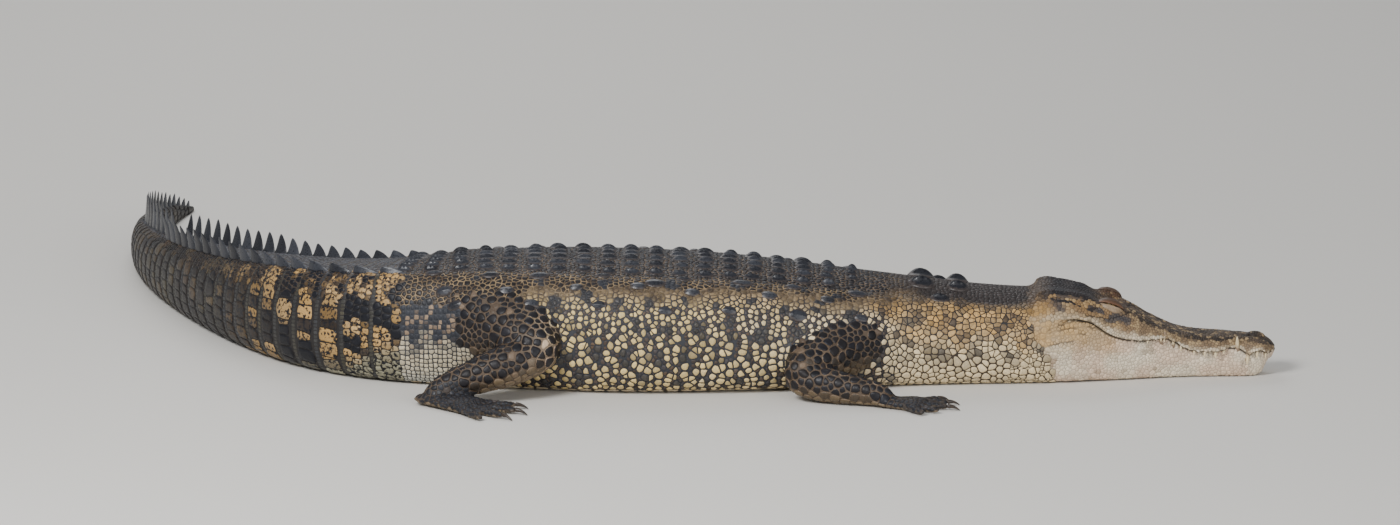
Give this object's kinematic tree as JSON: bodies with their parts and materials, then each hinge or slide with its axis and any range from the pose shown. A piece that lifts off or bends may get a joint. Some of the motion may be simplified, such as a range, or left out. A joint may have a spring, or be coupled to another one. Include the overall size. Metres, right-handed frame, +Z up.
{
  "type": "saltwater crocodile",
  "caption": "Saltwater crocodile at rest on its belly, jaws shut, legs spread low and the tail curving round to its left: a still, life-size display model.",
  "frame": {"origin": "on the floor under the middle of the belly, at the flat that the trunk lies on", "axes": "+X from the belly towards the snout tip, +Y to the animal's left, +Z up; the tail swings round towards -X and +Y"},
  "size_m": [2.2011, 1.8438, 0.231],
  "materials": {
    "scaly_hide": "dark brown and tan scaly hide with blue-black scutes, semi-matt",
    "pale_hide": "cream to pale tan hide of the jaw, semi-matt",
    "claw_horn": "dark horn, satin",
    "eye": "glossy olive and gold eye"
  },
  "bodies": {
    "root": {"ear_flap_left": "scaly_hide", "ear_flap_right": "scaly_hide", "eye_left": "eye", "eye_right": "eye", "front_left_forearm": "scaly_hide", "front_left_hand": "scaly_hide", "front_left_hand_claw_1": "claw_horn", "front_left_hand_claw_2": "claw_horn", "front_left_hand_claw_3": "claw_horn", "front_left_upper_arm": "scaly_hide", "front_right_forearm": "scaly_hide", "front_right_hand": "scaly_hide", "front_right_hand_claw_1": "claw_horn", "front_right_hand_claw_2": "claw_horn", "front_right_hand_claw_3": "claw_horn", "front_right_upper_arm": "scaly_hide", "head": "scaly_hide", "hind_left_foot": "scaly_hide", "hind_left_foot_claw_1": "claw_horn", "hind_left_foot_claw_2": "claw_horn", "hind_left_foot_claw_3": "claw_horn", "hind_left_shank": "scaly_hide", "hind_left_thigh": "scaly_hide", "hind_right_foot": "scaly_hide", "hind_right_foot_claw_1": "claw_horn", "hind_right_foot_claw_2": "claw_horn", "hind_right_foot_claw_3": "claw_horn", "hind_right_shank": "scaly_hide", "hind_right_thigh": "scaly_hide", "lower_jaw": "pale_hide", "neck": "scaly_hide", "tail_base": "scaly_hide", "tail_middle": "scaly_hide", "tail_rear": "scaly_hide", "tail_tip": "scaly_hide", "trunk": "scaly_hide"}
  },
  "joints": []
}
